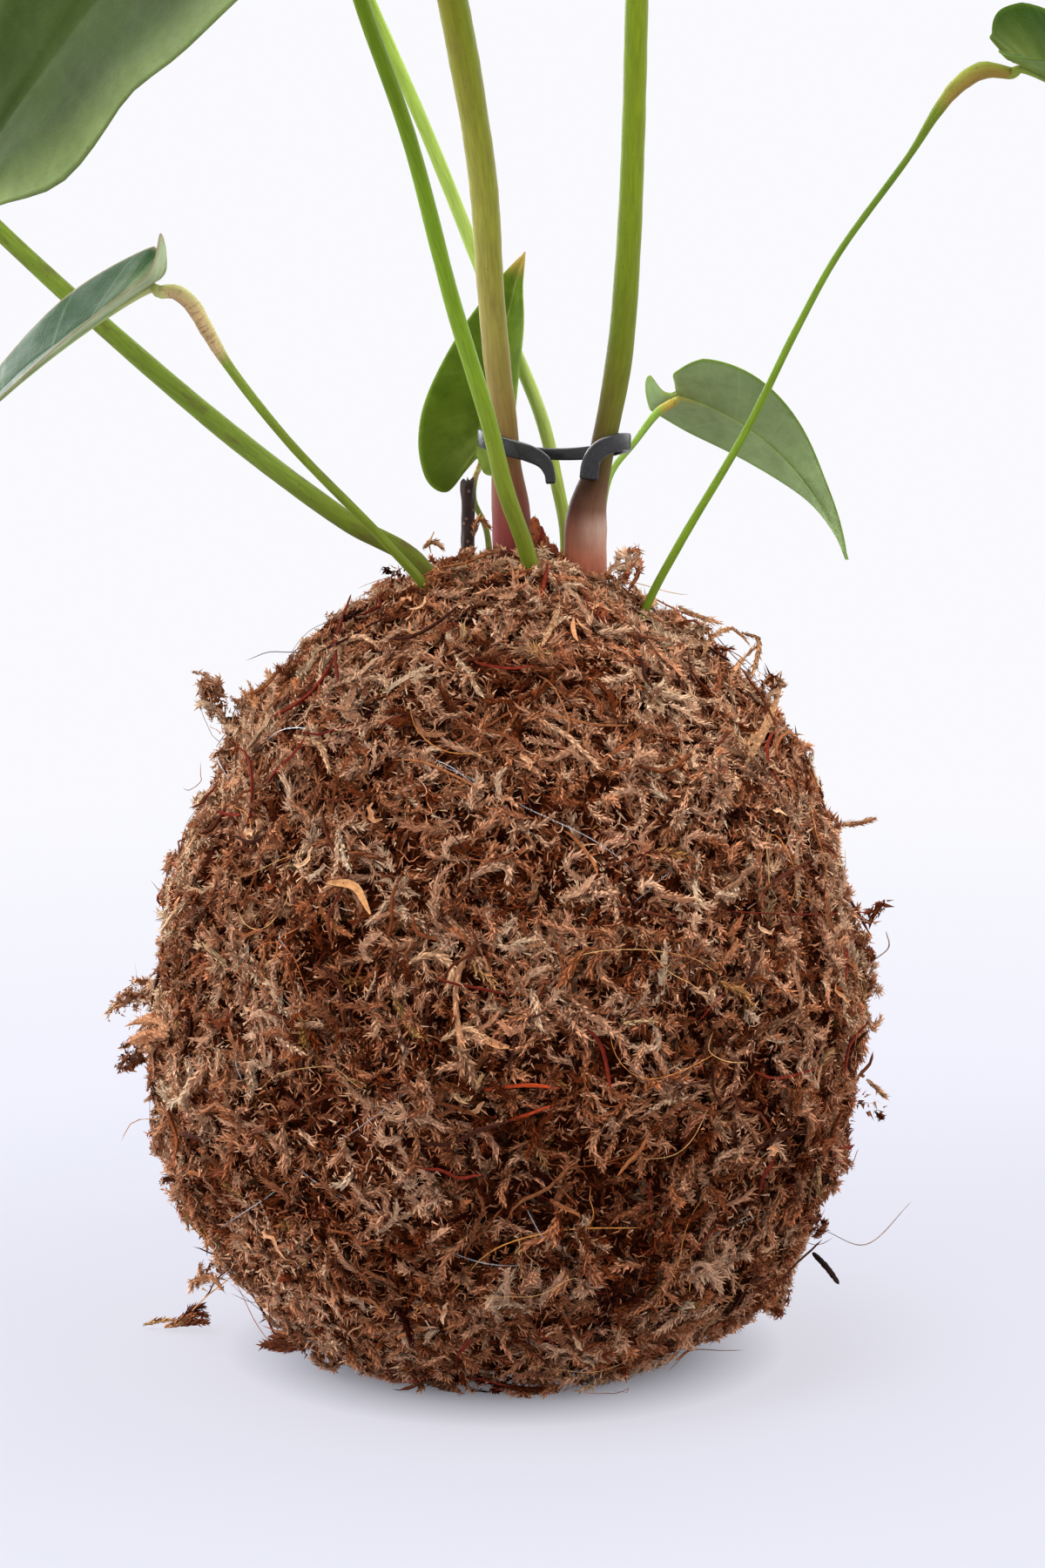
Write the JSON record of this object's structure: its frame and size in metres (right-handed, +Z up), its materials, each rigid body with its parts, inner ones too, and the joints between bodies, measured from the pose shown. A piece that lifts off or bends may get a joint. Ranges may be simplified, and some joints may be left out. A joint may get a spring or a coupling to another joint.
{
  "type": "kokedama moss ball plant",
  "caption": "Kokedama: a soil ball wrapped in brown moss and bound with thread, with a young arrow-leaved plant, a short stake and a stem clip. Rests on its flat spot.",
  "frame": {"origin": "centre of the flat spot under the moss ball, where it rests", "axes": "+Z up, +X to the viewer's right, +Y away from the viewer"},
  "size_m": [0.2902, 0.2132, 0.3213],
  "materials": {
    "moss": "matte",
    "soil": "matte",
    "thread": "gloss",
    "brown_stem": "satin",
    "green_stem": "satin",
    "stalk": "satin",
    "pale_stalk": "satin",
    "leaf": "satin",
    "young_leaf": "satin",
    "stake": "matte",
    "clip": "satin"
  },
  "bodies": {
    "root": {"moss_ball": "moss", "soil_core": "soil", "binding_thread": "thread", "stem_thick_left": "brown_stem", "stem_thick_right": "green_stem", "stalk_front": "stalk", "stalk_back": "pale_stalk", "stalk_left": "stalk", "stalk_far_left": "stalk", "stalk_right": "stalk", "stalk_back_right": "stalk", "stalk_small_leaf": "stalk", "leaf_thick_left": "leaf", "leaf_thick_right": "leaf", "leaf_front": "leaf", "leaf_back": "leaf", "leaf_left": "leaf", "leaf_far_left": "young_leaf", "leaf_right": "young_leaf", "leaf_back_right": "young_leaf", "leaf_small": "young_leaf", "stake": "stake", "clip": "clip"}
  },
  "joints": []
}
